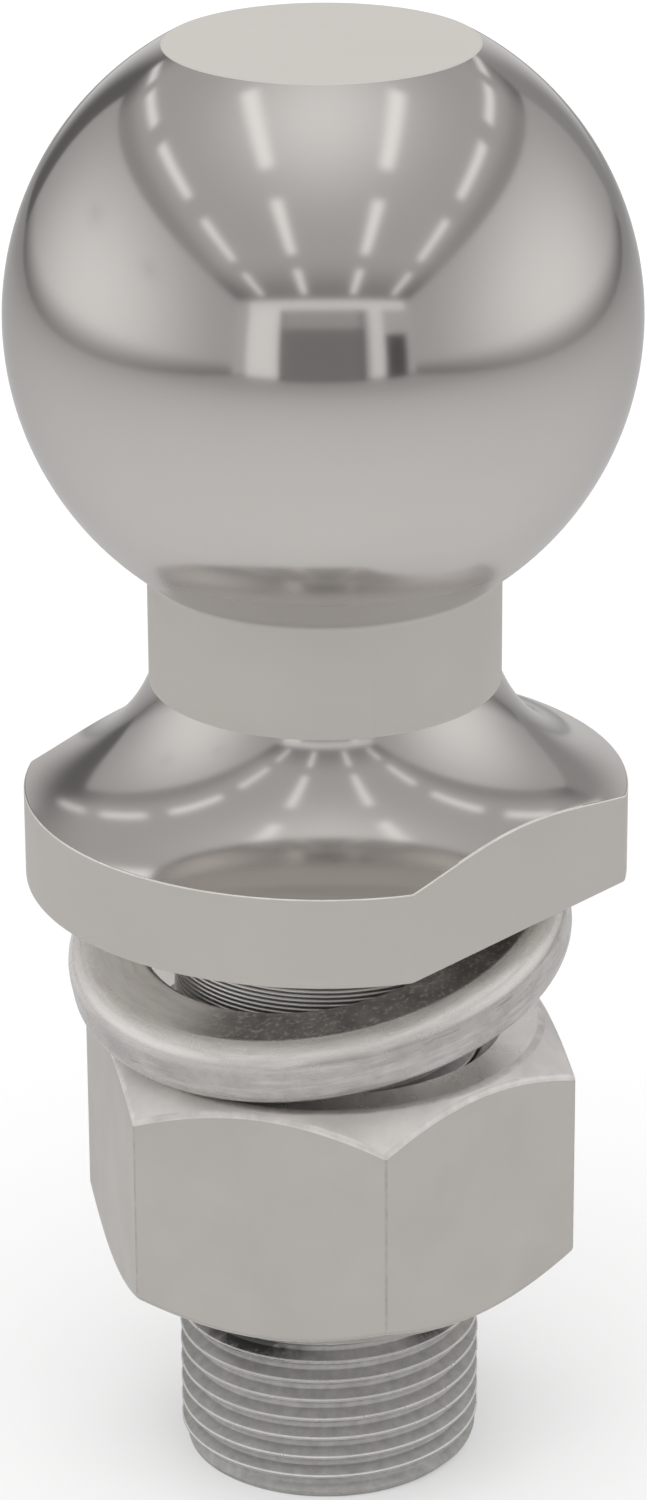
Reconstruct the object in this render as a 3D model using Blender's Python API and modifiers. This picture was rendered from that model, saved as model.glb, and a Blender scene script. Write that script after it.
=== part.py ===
"""Threaded tow ball standing on the end of its shank, with its lock washer and hex nut.

Lengths are metres and +Z is up. The origin is the centre of the shank's end, on the shank's axis.
Azimuths are measured from +X, counterclockwise seen from above; the photograph looks along +Y.
"""

import math

import bmesh
import bpy
from mathutils import Matrix, Vector

MM = 0.001
INCH = 0.0254

# Ball and neck
BALL_DIAMETER = 2.0 * INCH
TOP_FLAT_DIAMETER = 24.8 * MM
NECK_DIAMETER = 28.7 * MM
NECK_LENGTH = 9.5 * MM
NECK_FILLET = 1.0 * MM

# Flange with its concave flare and its two wrench flats
FLARE_HEIGHT = 9.2 * MM
FLARE_RADIUS = 15.0 * MM
FLANGE_DIAMETER = 49.5 * MM
FLANGE_THICKNESS = 7.6 * MM
FLANGE_EDGE_BREAK = 0.15 * MM
WRENCH_FLAT_DEPTH = 3.85 * MM
WRENCH_FLAT_AZIMUTH = math.radians(-41.9)

# Shank and its thread
SHANK_DIAMETER = 1.0 * INCH
SHANK_LENGTH = 52.9 * MM
SHANK_END_BEVEL = 0.6 * MM
SHANK_END_BEVEL_LENGTH = 1.7 * MM
THREADS_PER_INCH = 14
THREAD_PITCH = INCH / THREADS_PER_INCH
THREAD_BEYOND_NUT = 3.2 * MM
THREAD_DEPTH = 0.98 * MM
THREAD_CREST_WIDTH = 0.227 * MM
THREAD_HALF_ANGLE = math.radians(30.0)
THREAD_RADIAL_CLEARANCE = 0.25 * MM
THREAD_FLANK_CLEARANCE = 0.15 * MM

# Lock washer, one open coil of rounded bar that leans between the flange and the nut.
# Its rise is negative: the coil is left-handed, as under a nut with a right-handed thread.
WASHER_BORE_CLEARANCE = 1.8 * MM
WASHER_BAR_WIDTH = 6.5 * MM
WASHER_BAR_HEIGHT = 5.55 * MM
WASHER_OUTER_ROUNDING = 2.05 * MM
WASHER_INNER_ROUNDING = 0.85 * MM
WASHER_COIL_RISE = -1.8 * MM
WASHER_SPLIT_ANGLE = math.radians(8.0)
WASHER_SPLIT_AZIMUTH = math.radians(90.0)
WASHER_LEAN = math.radians(13.5)
WASHER_HIGH_AZIMUTH = math.radians(45.5)
WASHER_OFFSET_X = -0.6 * MM
WASHER_OFFSET_Y = 0.9 * MM
SEAT_GAP = 0.3 * MM

# Hex nut
NUT_ACROSS_FLATS = 37.2 * MM
NUT_HEIGHT = 21.1 * MM
NUT_FACE_INSET = 0.7 * MM
NUT_CHAMFER_ANGLE = math.radians(35.0)
NUT_COUNTERSINK = 1.75 * MM
NUT_CORNER_AZIMUTH = math.radians(-77.5)

# Fineness of the round shapes
BALL_STEPS = 60
UPPER_BALL_ARC_POINTS = 12
LOWER_BALL_ARC_POINTS = 12
FLARE_ARC_POINTS = 8
FILLET_ARC_POINTS = 4
THREAD_STEPS = 24
WASHER_STEPS = 60
BAR_CORNER_POINTS = 4
NUT_ENVELOPE_STEPS = 72

# How far a cutter runs past what it cuts
CUT_MARGIN = 2.0 * MM
THREAD_CUT_MARGIN = 0.08 * MM
THREAD_CUT_TURN = math.radians(1.5)
MERGE_DISTANCE = 0.00001
SHARP_ANGLE = math.radians(32.0)

# Radii
BALL_RADIUS = BALL_DIAMETER / 2
TOP_FLAT_RADIUS = TOP_FLAT_DIAMETER / 2
NECK_RADIUS = NECK_DIAMETER / 2
FLANGE_RADIUS = FLANGE_DIAMETER / 2
WRENCH_FLAT_DISTANCE = FLANGE_RADIUS - WRENCH_FLAT_DEPTH
SHANK_RADIUS = SHANK_DIAMETER / 2
THREAD_ROOT_RADIUS = SHANK_RADIUS - THREAD_DEPTH
NUT_BORE_RADIUS = THREAD_ROOT_RADIUS + THREAD_RADIAL_CLEARANCE
NUT_THREAD_RADIUS = SHANK_RADIUS + THREAD_RADIAL_CLEARANCE
WASHER_BORE_RADIUS = SHANK_RADIUS + WASHER_BORE_CLEARANCE
WASHER_RADIUS = WASHER_BORE_RADIUS + WASHER_BAR_WIDTH
NUT_FACE_RADIUS = NUT_ACROSS_FLATS / 2 - NUT_FACE_INSET
NUT_CORNER_RADIUS = NUT_ACROSS_FLATS / math.sqrt(3)

# Heights of the forging
FLANGE_BOTTOM = SHANK_LENGTH
FLANGE_TOP = FLANGE_BOTTOM + FLANGE_THICKNESS
NECK_BOTTOM = FLANGE_TOP + FLARE_HEIGHT
NECK_TOP = NECK_BOTTOM + NECK_LENGTH
BALL_CENTRE = NECK_TOP + math.sqrt(BALL_RADIUS**2 - NECK_RADIUS**2)
BALL_TOP = BALL_CENTRE + math.sqrt(BALL_RADIUS**2 - TOP_FLAT_RADIUS**2)


def clear_scene():
    for old in list(bpy.data.objects):
        bpy.data.objects.remove(old)


def new_collection(name):
    collection = bpy.data.collections.new(name)
    bpy.context.scene.collection.children.link(collection)
    return collection


def metal(name, colour, roughness):
    material = bpy.data.materials.new(name)
    material.use_nodes = True
    shader = material.node_tree.nodes["Principled BSDF"]
    shader.inputs["Base Color"].default_value = (*colour, 1.0)
    shader.inputs["Metallic"].default_value = 1.0
    shader.inputs["Roughness"].default_value = roughness
    return material


def add_object(name, mesh, collection):
    piece = bpy.data.objects.new(name, mesh)
    collection.objects.link(piece)
    return piece


def add_cutter(name, mesh, collection):
    cutter = add_object(name, mesh, collection)
    cutter.hide_render = True
    cutter.display_type = "WIRE"
    return cutter


def boolean(target, tool, operation):
    modifier = target.modifiers.new(f"{operation.lower()}_{tool.name}", "BOOLEAN")
    modifier.operation = operation
    modifier.object = tool
    modifier.solver = "EXACT"


def profile_mesh(name, points, closed=False):
    """A polyline in the XZ plane from (radius, height) pairs."""
    mesh = bpy.data.meshes.new(name)
    edges = [(i, i + 1) for i in range(len(points) - 1)]
    if closed:
        edges.append((len(points) - 1, 0))
    mesh.from_pydata([(radius, 0.0, height) for radius, height in points], edges, [])
    return mesh


def add_screw(piece, steps, angle=2 * math.pi, rise=0.0, turns=1, merge=True):
    screw = piece.modifiers.new("turn", "SCREW")
    screw.axis = "Z"
    screw.angle = angle
    screw.screw_offset = rise
    screw.iterations = turns
    screw.steps = steps
    screw.render_steps = steps
    screw.use_merge_vertices = merge
    screw.merge_threshold = MERGE_DISTANCE


def arc(centre, radius, start, end, count):
    """Points of a circular arc in (radius, height), both ends included."""
    angles = [start + (end - start) * i / (count - 1) for i in range(count)]
    return [(centre[0] + radius * math.cos(a), centre[1] + radius * math.sin(a)) for a in angles]


def coil(name, section, steps, angle, rise, turns, collection):
    """A closed section swept along a helix about Z, with both of its ends filled."""
    guide = add_object(f"{name}_sweep", profile_mesh(name, section, closed=True), collection)
    add_screw(guide, steps, angle, rise, turns, merge=False)
    graph = bpy.context.evaluated_depsgraph_get()
    mesh = bpy.data.meshes.new_from_object(guide.evaluated_get(graph))
    bpy.data.objects.remove(guide)
    shape = bmesh.new()
    shape.from_mesh(mesh)
    ends = [edge for edge in shape.edges if edge.is_boundary]
    bmesh.ops.holes_fill(shape, edges=ends, sides=len(section))
    bmesh.ops.recalc_face_normals(shape, faces=shape.faces)
    shape.to_mesh(mesh)
    shape.free()
    return mesh


def shade_round(mesh):
    mesh.shade_smooth()
    mesh.set_sharp_from_angle(angle=SHARP_ANGLE)


def shade_by_area(piece):
    """Weights the normals by face area, so flat faces look flat beside the smooth round ones."""
    piece.modifiers.new("shade", "WEIGHTED_NORMAL")


def fillet_under_ball():
    """The concave arc that joins the sphere to the neck, from the sphere down to the neck."""
    centre_radius = NECK_RADIUS + NECK_FILLET
    reach = BALL_RADIUS + NECK_FILLET
    centre_height = BALL_CENTRE - math.sqrt(reach**2 - centre_radius**2)
    start = math.atan2(BALL_CENTRE - centre_height, -centre_radius)
    return arc((centre_radius, centre_height), NECK_FILLET, start, math.pi, FILLET_ARC_POINTS)


def flare_arc():
    """The concave arc from the foot of the neck out to the flange's rim."""
    top = Vector((NECK_RADIUS, NECK_BOTTOM))
    rim = Vector((FLANGE_RADIUS - FLANGE_EDGE_BREAK, FLANGE_TOP))
    chord = rim - top
    outward = Vector((-chord.y, chord.x)).normalized()
    height = math.sqrt(FLARE_RADIUS**2 - (chord.length / 2) ** 2)
    centre = (top + rim) / 2 + outward * height
    start = math.atan2(top.y - centre.y, top.x - centre.x)
    end = math.atan2(rim.y - centre.y, rim.x - centre.x)
    if start > 0:
        start -= 2 * math.pi
    return arc(centre, FLARE_RADIUS, start, end, FLARE_ARC_POINTS)


def ball_and_flange_profile():
    """Outer side of the forging above the shank, from the top flat down to the flange's underside."""
    fillet = fillet_under_ball()
    top_angle = math.atan2(BALL_TOP - BALL_CENTRE, TOP_FLAT_RADIUS)
    low_angle = math.atan2(fillet[0][1] - BALL_CENTRE, fillet[0][0])
    upper = arc((0.0, BALL_CENTRE), BALL_RADIUS, top_angle, 0.0, UPPER_BALL_ARC_POINTS)
    lower = arc((0.0, BALL_CENTRE), BALL_RADIUS, 0.0, low_angle, LOWER_BALL_ARC_POINTS)
    rim_top = (FLANGE_RADIUS, FLANGE_TOP - FLANGE_EDGE_BREAK)
    rim_bottom = (FLANGE_RADIUS, FLANGE_BOTTOM + FLANGE_EDGE_BREAK)
    seat_edge = (FLANGE_RADIUS - FLANGE_EDGE_BREAK, FLANGE_BOTTOM)
    ends = [rim_top, rim_bottom, seat_edge, (0.0, FLANGE_BOTTOM)]
    return [(0.0, BALL_TOP), *upper, *lower[1:], *fillet[1:], *flare_arc(), *ends]


def shank_profile():
    """The shank's blank, sunk into the flange at its top and bevelled at its end."""
    top = FLANGE_BOTTOM + FLANGE_THICKNESS / 2
    end_radius = SHANK_RADIUS - SHANK_END_BEVEL
    outer = [(SHANK_RADIUS, top), (SHANK_RADIUS, SHANK_END_BEVEL_LENGTH), (end_radius, 0.0)]
    return [(0.0, top), *outer, (0.0, 0.0)]


def groove_section(inner_radius, outer_radius, width_at_shank, half_angle, phase):
    """Trapezoid between two radii, with its middle at height phase.

    It widens outward by half_angle at each flank, or narrows where half_angle is negative.
    """
    slope = math.tan(half_angle)
    inner = width_at_shank / 2 + slope * (inner_radius - SHANK_RADIUS)
    outer = width_at_shank / 2 + slope * (outer_radius - SHANK_RADIUS)
    return [
        (inner_radius, phase - inner),
        (outer_radius, phase - outer),
        (outer_radius, phase + outer),
        (inner_radius, phase + inner),
    ]


def add_thread_cutter(name, mesh, collection):
    """Both threads are turned by one small angle, so no cutter edge lies on an edge of its blank."""
    cutter = add_cutter(name, mesh, collection)
    cutter.rotation_euler = (0.0, 0.0, THREAD_CUT_TURN)
    return cutter


def shank_thread_groove(thread_top, collection):
    """The shank's thread as a helical cutter, which climbs out of the shank below thread_top."""
    width = THREAD_PITCH - THREAD_CREST_WIDTH
    outer_radius = SHANK_RADIUS + THREAD_CUT_MARGIN
    phase = -2 * THREAD_PITCH
    section = groove_section(THREAD_ROOT_RADIUS, outer_radius, width, THREAD_HALF_ANGLE, phase)
    turns = math.ceil(thread_top / THREAD_PITCH) + 2
    mesh = coil("shank_thread", section, THREAD_STEPS, 2 * math.pi, THREAD_PITCH, turns, collection)
    runout_start = thread_top - 2 * THREAD_PITCH
    climb = (THREAD_DEPTH + THREAD_CUT_MARGIN) / THREAD_PITCH
    for vertex in mesh.vertices:
        lift = max(0.0, vertex.co.z - runout_start) * climb
        flat = Vector((vertex.co.x, vertex.co.y, 0.0))
        vertex.co += flat.normalized() * lift
    return add_thread_cutter("shank_thread", mesh, collection)


def wrench_flat_cutter(name, azimuth, collection):
    """A block whose near face is one wrench flat of the flange."""
    bottom = FLANGE_BOTTOM - CUT_MARGIN
    top = NECK_BOTTOM
    depth = WRENCH_FLAT_DEPTH + CUT_MARGIN
    size = Vector((depth, FLANGE_DIAMETER + CUT_MARGIN, top - bottom))
    shape = bmesh.new()
    bmesh.ops.create_cube(shape, size=1.0)
    bmesh.ops.scale(shape, vec=size, verts=shape.verts)
    middle = Vector((WRENCH_FLAT_DISTANCE + depth / 2, 0.0, (top + bottom) / 2))
    bmesh.ops.translate(shape, vec=middle, verts=shape.verts)
    mesh = bpy.data.meshes.new(name)
    shape.to_mesh(mesh)
    shape.free()
    cutter = add_cutter(name, mesh, collection)
    cutter.rotation_euler = (0.0, 0.0, azimuth)
    return cutter


def make_tow_ball(parts, cutters, thread_top):
    shank = add_cutter("shank_blank", profile_mesh("shank_blank", shank_profile()), cutters)
    add_screw(shank, THREAD_STEPS)
    boolean(shank, shank_thread_groove(thread_top, cutters), "DIFFERENCE")
    ball = add_object("tow_ball", profile_mesh("tow_ball", ball_and_flange_profile()), parts)
    add_screw(ball, BALL_STEPS)
    boolean(ball, wrench_flat_cutter("near_wrench_flat", WRENCH_FLAT_AZIMUTH, cutters), "DIFFERENCE")
    far_azimuth = WRENCH_FLAT_AZIMUTH + math.pi
    boolean(ball, wrench_flat_cutter("far_wrench_flat", far_azimuth, cutters), "DIFFERENCE")
    boolean(ball, shank, "UNION")
    shade_by_area(ball)
    ball.data.materials.append(metal("chrome_plate", (0.72, 0.71, 0.69), 0.12))


def bar_section():
    """Cross-section of the washer's bar, rounder outside than inside, centred at height zero."""
    half = WASHER_BAR_HEIGHT / 2
    near, inner = WASHER_BORE_RADIUS + WASHER_INNER_ROUNDING, WASHER_INNER_ROUNDING
    far, outer = WASHER_RADIUS - WASHER_OUTER_ROUNDING, WASHER_OUTER_ROUNDING
    corners = [
        (far, half - outer, outer),
        (near, half - inner, inner),
        (near, inner - half, inner),
        (far, outer - half, outer),
    ]
    points = []
    for i, (radius, height, rounding) in enumerate(corners):
        start = i * math.pi / 2
        points += arc((radius, height), rounding, start, start + math.pi / 2, BAR_CORNER_POINTS)
    return points


def washer_mesh(collection):
    """The open coil, split at its azimuth and leaning about its own middle."""
    angle = 2 * math.pi - WASHER_SPLIT_ANGLE
    mesh = coil("lock_washer", bar_section(), WASHER_STEPS, angle, WASHER_COIL_RISE, 1, collection)
    middle = Matrix.Translation((0.0, 0.0, -WASHER_COIL_RISE / 2))
    turn = Matrix.Rotation(WASHER_SPLIT_AZIMUTH + WASHER_SPLIT_ANGLE / 2, 4, "Z")
    hinge_line = Vector((-math.sin(WASHER_HIGH_AZIMUTH), math.cos(WASHER_HIGH_AZIMUTH), 0.0))
    lean = Matrix.Rotation(-WASHER_LEAN, 4, hinge_line)
    aside = Matrix.Translation((WASHER_OFFSET_X, WASHER_OFFSET_Y, 0.0))
    mesh.transform(aside @ lean @ turn @ middle)
    shade_round(mesh)
    return mesh


def lowest_over_nut_face(mesh):
    """Lowest height of the washer over the nut's flat face, inside the circle where the chamfer starts."""
    heights = []
    for edge in mesh.edges:
        inner, outer = sorted(
            (mesh.vertices[i].co for i in edge.vertices), key=lambda place: place.xy.length
        )
        if inner.xy.length > NUT_FACE_RADIUS:
            continue
        heights.append(inner.z)
        if outer.xy.length > NUT_FACE_RADIUS:
            share = (NUT_FACE_RADIUS - inner.xy.length) / (outer.xy.length - inner.xy.length)
            heights.append(inner.lerp(outer, share).z)
    return min(heights)


def nut_envelope_profile():
    """Double cone that leaves the nut's six corners chamfered at both faces."""
    reach = NUT_CORNER_RADIUS + CUT_MARGIN
    drop = (reach - NUT_FACE_RADIUS) * math.tan(NUT_CHAMFER_ANGLE)
    upper = [(0.0, NUT_HEIGHT), (NUT_FACE_RADIUS, NUT_HEIGHT), (reach, NUT_HEIGHT - drop)]
    lower = [(reach, drop), (NUT_FACE_RADIUS, 0.0), (0.0, 0.0)]
    return upper + lower


def nut_bore_profile():
    """The nut's bore with a countersink at each face."""
    mouth = NUT_THREAD_RADIUS + NUT_COUNTERSINK
    depth = mouth - NUT_BORE_RADIUS
    top = NUT_HEIGHT + CUT_MARGIN
    upper = [(0.0, top), (mouth, top), (mouth, NUT_HEIGHT), (NUT_BORE_RADIUS, NUT_HEIGHT - depth)]
    lower = [(NUT_BORE_RADIUS, depth), (mouth, 0.0), (mouth, -CUT_MARGIN), (0.0, -CUT_MARGIN)]
    return upper + lower


def nut_thread_groove(nut_bottom, collection):
    """The nut's thread as a helical cutter in step with the shank's, in the nut's own heights."""
    width = THREAD_CREST_WIDTH + 2 * THREAD_FLANK_CLEARANCE
    inner_radius = NUT_BORE_RADIUS - THREAD_CUT_MARGIN
    turns_below = math.floor(nut_bottom / THREAD_PITCH) - 1
    phase = (turns_below - 0.5) * THREAD_PITCH - nut_bottom
    section = groove_section(inner_radius, NUT_THREAD_RADIUS, width, -THREAD_HALF_ANGLE, phase)
    turns = math.ceil(NUT_HEIGHT / THREAD_PITCH) + 4
    mesh = coil("nut_thread", section, THREAD_STEPS, 2 * math.pi, THREAD_PITCH, turns, collection)
    return add_thread_cutter("nut_thread", mesh, collection)


def hexagon_mesh():
    shape = bmesh.new()
    radii = {"radius1": NUT_CORNER_RADIUS, "radius2": NUT_CORNER_RADIUS}
    bmesh.ops.create_cone(shape, cap_ends=True, segments=6, depth=NUT_HEIGHT, **radii)
    bmesh.ops.translate(shape, vec=(0.0, 0.0, NUT_HEIGHT / 2), verts=shape.verts)
    first_corner = max(shape.verts, key=lambda vertex: vertex.co.x).co
    turn = NUT_CORNER_AZIMUTH - math.atan2(first_corner.y, first_corner.x)
    bmesh.ops.rotate(shape, matrix=Matrix.Rotation(turn, 3, "Z"), verts=shape.verts)
    mesh = bpy.data.meshes.new("hex_nut")
    shape.to_mesh(mesh)
    shape.free()
    return mesh


def make_hex_nut(parts, cutters, nut_bottom):
    nut = add_object("hex_nut", hexagon_mesh(), parts)
    envelope = add_cutter("nut_envelope", profile_mesh("nut_envelope", nut_envelope_profile()), cutters)
    add_screw(envelope, NUT_ENVELOPE_STEPS)
    bore = add_cutter("nut_bore", profile_mesh("nut_bore", nut_bore_profile()), cutters)
    add_screw(bore, THREAD_STEPS)
    thread = nut_thread_groove(nut_bottom, cutters)
    boolean(nut, envelope, "INTERSECT")
    boolean(nut, bore, "DIFFERENCE")
    boolean(nut, thread, "DIFFERENCE")
    for tool in (envelope, bore, thread):
        tool.parent = nut
    shade_by_area(nut)
    nut.data.materials.append(metal("zinc_plate_on_nut", (0.55, 0.54, 0.52), 0.4))
    return nut


def main():
    clear_scene()
    parts = new_collection("threaded_tow_ball")
    cutters = new_collection("cutters")

    coil_mesh = washer_mesh(cutters)
    washer_top = max(vertex.co.z for vertex in coil_mesh.vertices)
    washer_height = FLANGE_BOTTOM - SEAT_GAP - washer_top
    nut_top = washer_height + lowest_over_nut_face(coil_mesh) - SEAT_GAP
    nut_bottom = nut_top - NUT_HEIGHT

    make_tow_ball(parts, cutters, nut_top + THREAD_BEYOND_NUT)
    carriage = add_object("nut_carriage", None, parts)
    carriage.location = (0.0, 0.0, nut_bottom)
    washer = add_object("lock_washer", coil_mesh, parts)
    washer.parent = carriage
    washer.location = (0.0, 0.0, washer_height - nut_bottom)
    washer.data.materials.append(metal("zinc_plate_on_washer", (0.5, 0.49, 0.47), 0.35))
    nut = make_hex_nut(parts, cutters, nut_bottom)
    nut.parent = carriage


main()
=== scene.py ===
"""Looks of the threaded tow ball: the plated forging, its lock washer and its hex nut.

Lengths are metres in the frame of the solids: +Z up, the origin at the centre of the shank's end, and the
photograph looks along +Y. Each visible piece is rebuilt finely where its solid stands and replaces it.
"""

import math

import bmesh
import bpy
from mathutils import Matrix, Vector


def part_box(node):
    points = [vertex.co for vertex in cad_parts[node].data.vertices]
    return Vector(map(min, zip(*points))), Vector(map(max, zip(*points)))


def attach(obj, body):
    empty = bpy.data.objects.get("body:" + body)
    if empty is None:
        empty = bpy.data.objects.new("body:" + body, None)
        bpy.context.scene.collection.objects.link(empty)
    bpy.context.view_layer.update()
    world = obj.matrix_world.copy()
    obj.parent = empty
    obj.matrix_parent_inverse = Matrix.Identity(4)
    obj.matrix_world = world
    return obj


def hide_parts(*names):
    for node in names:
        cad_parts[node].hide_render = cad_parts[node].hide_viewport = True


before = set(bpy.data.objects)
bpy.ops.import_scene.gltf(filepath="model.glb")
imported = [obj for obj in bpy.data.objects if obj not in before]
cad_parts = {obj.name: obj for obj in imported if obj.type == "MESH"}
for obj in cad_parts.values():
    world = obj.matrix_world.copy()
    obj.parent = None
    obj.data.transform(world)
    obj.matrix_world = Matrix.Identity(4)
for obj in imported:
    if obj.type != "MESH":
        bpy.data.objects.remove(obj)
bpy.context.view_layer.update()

MM = 0.001
INCH = 0.0254

# Forging, at the sizes of its solid
BALL_RADIUS = INCH
TOP_FLAT_RADIUS = 12.4 * MM
NECK_RADIUS = 14.35 * MM
NECK_LENGTH = 9.5 * MM
NECK_FILLET = 1.0 * MM
FLARE_HEIGHT = 9.2 * MM
FLARE_RADIUS = 15.0 * MM
FLANGE_RADIUS = 24.75 * MM
FLANGE_THICKNESS = 7.6 * MM
WRENCH_FLAT_DEPTH = 3.85 * MM
WRENCH_FLAT_AZIMUTH = math.radians(-41.9)
SHANK_RADIUS = INCH / 2
SHANK_END_BEVEL = 0.6 * MM
SHANK_END_BEVEL_LENGTH = 1.7 * MM
THREAD_PITCH = INCH / 14
THREAD_DEPTH = 0.98 * MM
THREAD_CREST_WIDTH = 0.227 * MM
THREAD_BEYOND_NUT = 3.2 * MM
THREAD_RUN_OUT = 2 * THREAD_PITCH
THREAD_SLOPE = math.tan(math.radians(30.0))
THREAD_TURN = math.radians(1.5)

# Clearance between the shank's thread and the nut's
THREAD_RADIAL_CLEARANCE = 0.25 * MM
THREAD_FLANK_CLEARANCE = 0.15 * MM

# Lock washer
WASHER_BORE_RADIUS = 14.5 * MM
WASHER_BAR_WIDTH = 6.5 * MM
WASHER_BAR_HEIGHT = 5.55 * MM
WASHER_OUTER_ROUNDING = 2.05 * MM
WASHER_INNER_ROUNDING = 0.85 * MM
WASHER_COIL_RISE = -1.8 * MM
WASHER_SPLIT_ANGLE = math.radians(8.0)
WASHER_SPLIT_AZIMUTH = math.radians(90.0)
WASHER_LEAN = math.radians(13.5)
WASHER_HIGH_AZIMUTH = math.radians(45.5)
WASHER_OFFSET = Vector((-0.6 * MM, 0.9 * MM, 0.0))

# Hex nut
NUT_ACROSS_FLATS = 37.2 * MM
NUT_FACE_INSET = 0.7 * MM
NUT_CHAMFER_ANGLE = math.radians(35.0)
NUT_COUNTERSINK = 1.75 * MM
NUT_CORNER_AZIMUTH = math.radians(-77.5)

# Heights, from the solids
washer_low, washer_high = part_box("lock_washer")
nut_low, nut_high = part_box("hex_nut")
ball_low, ball_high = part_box("tow_ball")
NUT_BOTTOM = nut_low.z
NUT_TOP = nut_high.z
BALL_TOP = ball_high.z
BALL_CENTRE = BALL_TOP - math.sqrt(BALL_RADIUS**2 - TOP_FLAT_RADIUS**2)
NECK_TOP = BALL_CENTRE - math.sqrt(BALL_RADIUS**2 - NECK_RADIUS**2)
NECK_BOTTOM = NECK_TOP - NECK_LENGTH
FLANGE_TOP = NECK_BOTTOM - FLARE_HEIGHT
FLANGE_BOTTOM = FLANGE_TOP - FLANGE_THICKNESS
THREAD_TOP = NUT_TOP + THREAD_BEYOND_NUT

# Edge roundings that catch the light
TOP_FLAT_EDGE = 0.12 * MM
FLANGE_EDGE = 0.16 * MM
WRENCH_CORNER = 0.08 * MM
NUT_CHAMFER_EDGE = 0.34 * MM
NUT_CORNER_EDGE = 0.14 * MM
CREST_EDGE = 0.1 * MM
ROOT_ROUNDING = 0.07 * MM

# Names of the values that the points of a mesh carry
PAINTED_HIGHLIGHT_EDGE = "painted_highlight_edge"
BAR_PLACE = "bar_place"
NUT_SHADOW = "nut_shadow"
ROOM_LEVEL = "level"

# Traces of turning, and the washer's painted highlight on its upper outer edge and painted light on its
# top face; the fades are ranges of a cosine and of a share of the edge
TURNING_FEED = 0.4 * MM
STREAK_STRETCH = 7.0
HIGHLIGHT_BORDER = 0.25 * MM
LIT_TOP_AZIMUTH = math.radians(-165.0)
LIT_TOP_FADE = (0.62, 0.92)
LIT_TOP_POINTS = 4
HIGHLIGHT_EDGE_FADE = (0.0, 0.55)

# Painted shade of the nut on the thread, as dark marks just under it, each with its azimuth and half
# width in degrees, its depth under the nut, its half height and its strength
NUT_SHADOW_MARKS = (
    (-125.0, 24.0, 3.9 * MM, 1.3 * MM, 1.7),
    (-45.0, 9.0, 3.5 * MM, 1.0 * MM, 1.5),
)

# White, and tints of the plating and of the barer steel as shares of red, green and blue
WHITE = (1.0, 1.0, 1.0, 1.0)
PLATE_TINT = (1.0, 0.953, 0.916)
SATIN_TINT = (1.0, 0.961, 0.9)
WASHER_TINT = (1.0, 0.962, 0.928)
STEEL_TINT = (1.0, 0.98, 0.955)

# Fineness of the meshes: steps round the axis, and points of each curve
TURNED_STEPS = 168
THREAD_STEPS = 128
WASHER_STEPS = 240
BALL_POINTS = 34
FLARE_POINTS = 30
FILLET_POINTS = 8
EDGE_POINTS = 5
BAR_CORNER_POINTS = 11

# Angles from which an edge stays sharp or is rounded, and the rise that makes it an upright one
SHARP_ANGLE = math.radians(35.0)
NUT_SOFTENED_ANGLE = math.radians(15.0)
UPRIGHT_RISE = 0.99

# Spare length of what is cut away, and how near counts as being in a plane
CUT_MARGIN = 2.0 * MM
SPARE_TURNS = 2
MERGE_DISTANCE = 1e-7
PLANE_TOLERANCE = 1e-6

# Degrees from a wrench flat's corner to its close columns, and from those to the even ones
CORNER_COLUMNS = (-0.5, -0.25, -0.12, 0.0, 0.12, 0.25, 0.5)
COLUMN_GAP = 0.3


def smooth(value, start, end):
    """0 before start and 1 after end, with a smooth step between them."""
    share = min(1.0, max(0.0, (value - start) / (end - start)))
    return share * share * (3 - 2 * share)


def bell(x, y, width_x, width_y):
    """1 in the middle, falling away smoothly over the two widths."""
    return math.exp(-((x / width_x) ** 2 + (y / width_y) ** 2))


def arc(centre, radius, start, end, count):
    """Points of a circular arc in (radius, height), both ends included."""
    angles = [start + (end - start) * i / (count - 1) for i in range(count)]
    return [(centre[0] + radius * math.cos(a), centre[1] + radius * math.sin(a)) for a in angles]


def rounded_corner(before, corner, after, size):
    """A small curve that replaces a profile's corner, tangent to both of its sides."""
    corner = Vector(corner)
    start = corner + (Vector(before) - corner).normalized() * size
    end = corner + (Vector(after) - corner).normalized() * size
    points = []
    for i in range(EDGE_POINTS):
        t = i / (EDGE_POINTS - 1)
        point = start * (1 - t) ** 2 + corner * (2 * t * (1 - t)) + end * t**2
        points.append((point.x, point.y))
    return points


def add_piece(name, shape):
    """An object from a bmesh, with all its faces turned outward."""
    bmesh.ops.recalc_face_normals(shape, faces=shape.faces)
    mesh = bpy.data.meshes.new(name)
    shape.to_mesh(mesh)
    shape.free()
    piece = bpy.data.objects.new(name, mesh)
    bpy.context.scene.collection.objects.link(piece)
    return piece


def even_angles(steps):
    return [2 * math.pi * i / steps for i in range(steps)]


def loft(name, angles, profile_at):
    """A closed solid with a profile for each angle.

    A profile lists (radius, height) pairs and starts and ends on the axis.
    """
    shape = bmesh.new()
    rings = []
    for row in zip(*[profile_at(angle) for angle in angles]):
        if row[0][0] == 0.0:
            places = [(0.0, 0.0, row[0][1])]
        else:
            places = [(r * math.cos(a), r * math.sin(a), h) for a, (r, h) in zip(angles, row)]
        rings.append([shape.verts.new(place) for place in places])
    for upper, lower in zip(rings, rings[1:]):
        for i in range(len(angles)):
            j = (i + 1) % len(angles)
            near_side = (upper[i % len(upper)], lower[i % len(lower)])
            far_side = (lower[j % len(lower)], upper[j % len(upper)])
            shape.faces.new(dict.fromkeys(near_side + far_side))
    return add_piece(name, shape)


def revolve(name, profile):
    return loft(name, even_angles(TURNED_STEPS), lambda angle: profile)


def apply_modifiers(piece):
    graph = bpy.context.evaluated_depsgraph_get()
    mesh = bpy.data.meshes.new_from_object(piece.evaluated_get(graph))
    mesh.materials.clear()
    piece.modifiers.clear()
    piece.data = mesh
    mesh.name = piece.name


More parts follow.
